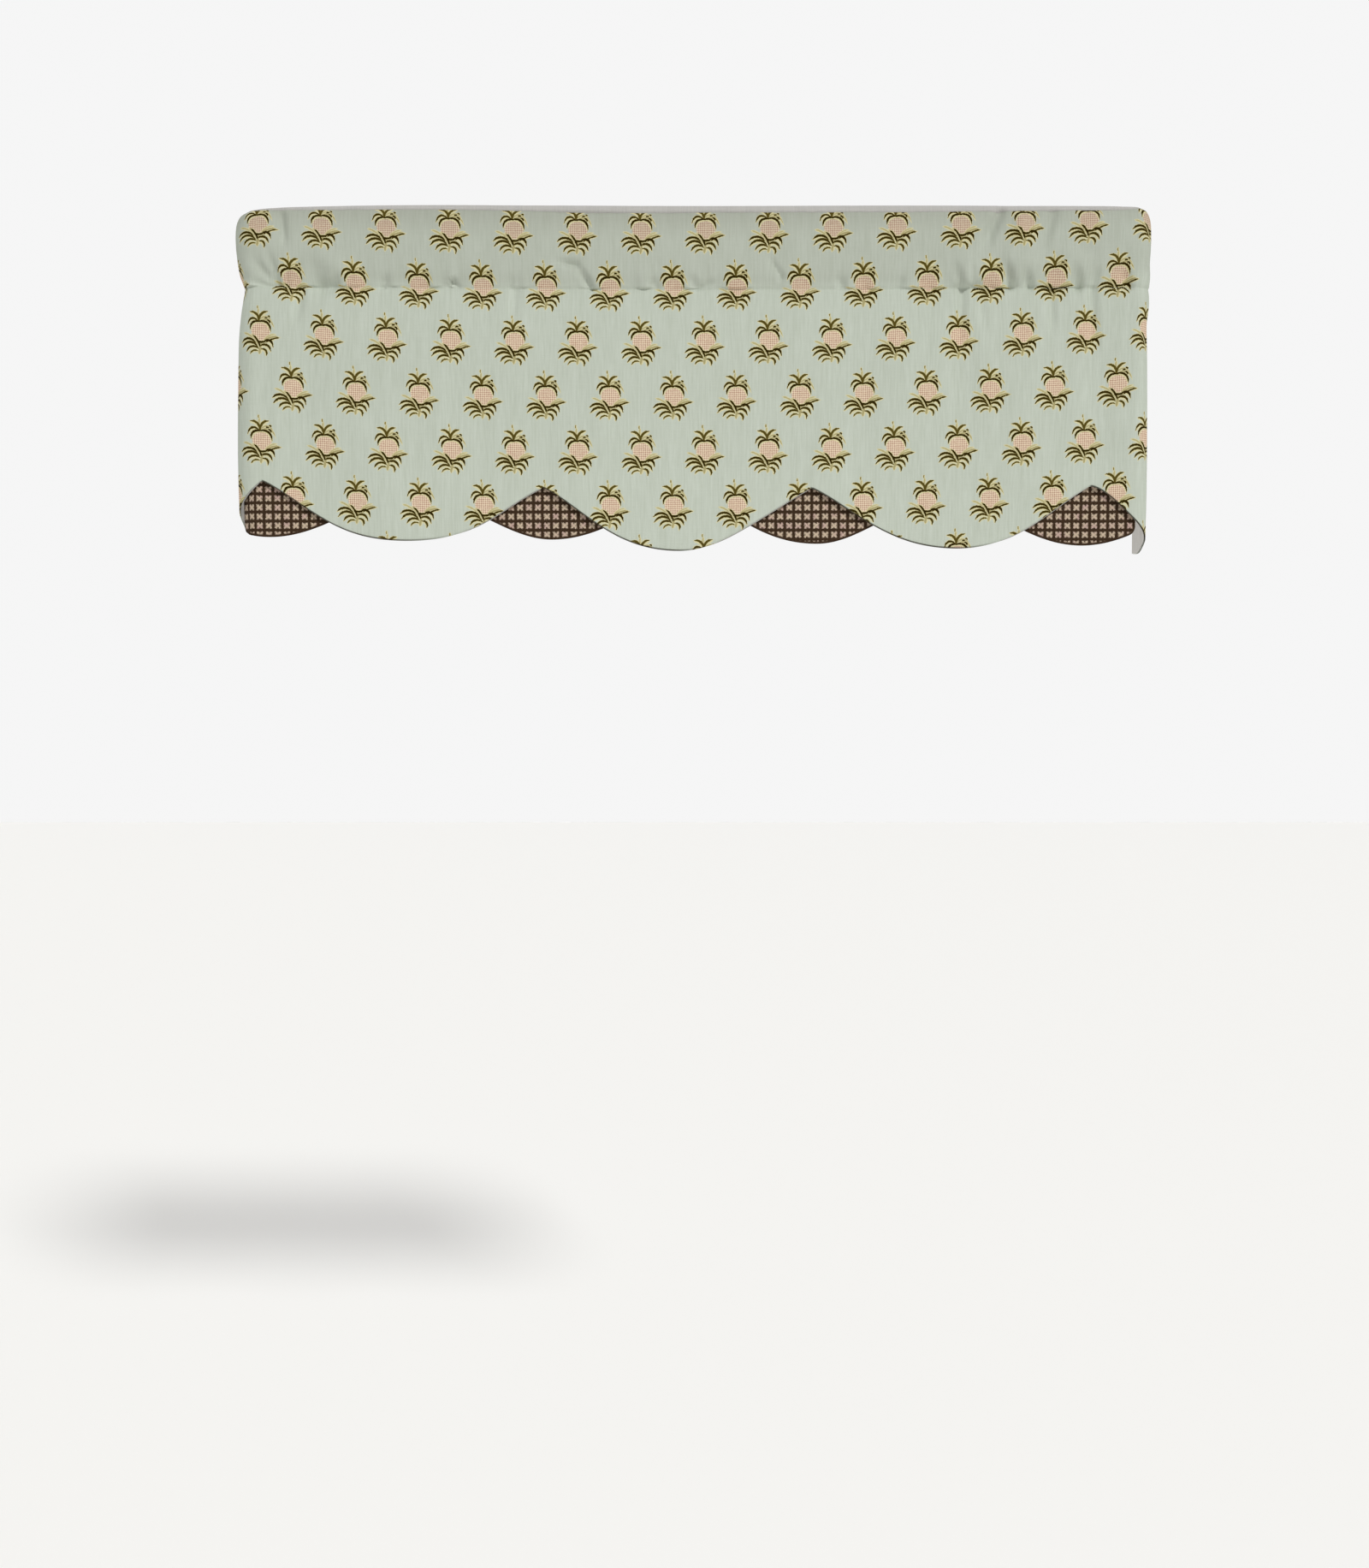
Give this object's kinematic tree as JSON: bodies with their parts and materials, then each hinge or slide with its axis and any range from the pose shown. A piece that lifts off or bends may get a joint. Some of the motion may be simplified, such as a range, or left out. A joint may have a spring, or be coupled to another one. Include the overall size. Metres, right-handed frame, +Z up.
{
  "type": "window valance",
  "caption": "Lined rod-pocket window valance with a scalloped hem, a checked underlay behind it and short returns at both ends.",
  "frame": {"origin": "middle of the rod pocket's top, midway between the pocket's front and back walls", "axes": "+Z up, +X along the valance, the printed front looks towards -Y and the returns run back to +Y"},
  "size_m": [1.1833, 0.0789, 0.4399],
  "materials": {
    "printed_cotton": "printed slub cotton, matt",
    "lining_cloth": "plain cream lining, matt",
    "checked_cloth": "woven brown and tan check, matt"
  },
  "bodies": {
    "root": {"printed_face": "printed_cotton", "cream_lining": "lining_cloth", "check_underlay": "checked_cloth"}
  },
  "joints": []
}
